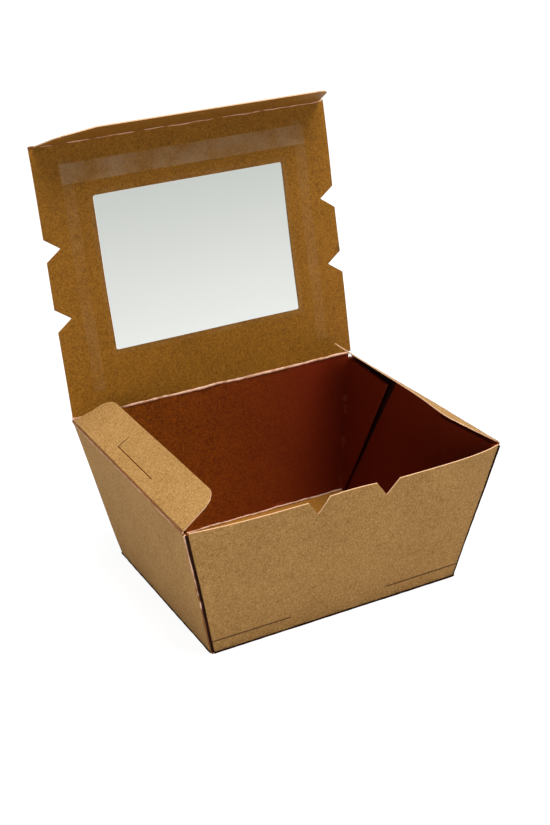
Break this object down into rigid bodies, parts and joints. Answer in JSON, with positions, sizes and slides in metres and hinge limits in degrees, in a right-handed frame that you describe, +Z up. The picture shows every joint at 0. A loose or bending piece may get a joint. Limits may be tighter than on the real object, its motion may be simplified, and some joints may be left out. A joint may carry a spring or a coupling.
{
  "type": "takeaway lunch box with window lid",
  "caption": "Folded kraft board takeaway box, standing open, with tapered walls, fold-in side flaps, and a hinged lid with a clear film window and a tuck-in lip.",
  "frame": {"origin": "middle of the base's underside, on the surface that the box stands on", "axes": "+Z up, +X to the right along the front wall, +Y from the front wall to the hinged back wall"},
  "size_m": [0.1304, 0.1328, 0.176],
  "materials": {
    "kraft_board": "uncoated brown kraft, matt",
    "kraft_board_inside": "greaseproof coated kraft, soft sheen",
    "kraft_board_flap": "uncoated brown kraft, matt, coated below",
    "clear_film": "thin clear film, glossy"
  },
  "bodies": {
    "tray": {"tray": "kraft_board"},
    "lid": {"lid_panel": "kraft_board_inside", "window_film": "clear_film"},
    "lip": {"lid_lip": "kraft_board_inside"},
    "left_flap": {"left_flap": "kraft_board_flap"},
    "right_flap": {"right_flap": "kraft_board_flap"}
  },
  "joints": [
    {"name": "lid_hinge", "type": "hinge", "parent": "tray", "child": "lid", "pos_m": [0, 0.055, 0.0601], "axis": [1, 0, 0], "range_deg": [-80, 99.9]},
    {"name": "lip_fold", "type": "hinge", "parent": "lid", "child": "lip", "pos_m": [0, 0.07377, 0.16767], "axis": [1, 0, 0], "range_deg": [-30, 30]},
    {"name": "left_flap_fold", "type": "hinge", "parent": "tray", "child": "left_flap", "pos_m": [-0.065, 0, 0.059], "axis": [0, 1, 0], "range_deg": [-30, 35]},
    {"name": "right_flap_fold", "type": "hinge", "parent": "tray", "child": "right_flap", "pos_m": [0.065, 0, 0.059], "axis": [0, -1, 0], "range_deg": [-40, 45]}
  ],
  "couplings": [
    {"joint": "lip_fold", "follows": "lid_hinge", "ratio": 0.27},
    {"joint": "left_flap_fold", "follows": "lid_hinge", "ratio": 0.32},
    {"joint": "right_flap_fold", "follows": "lid_hinge", "ratio": 0.42}
  ]
}
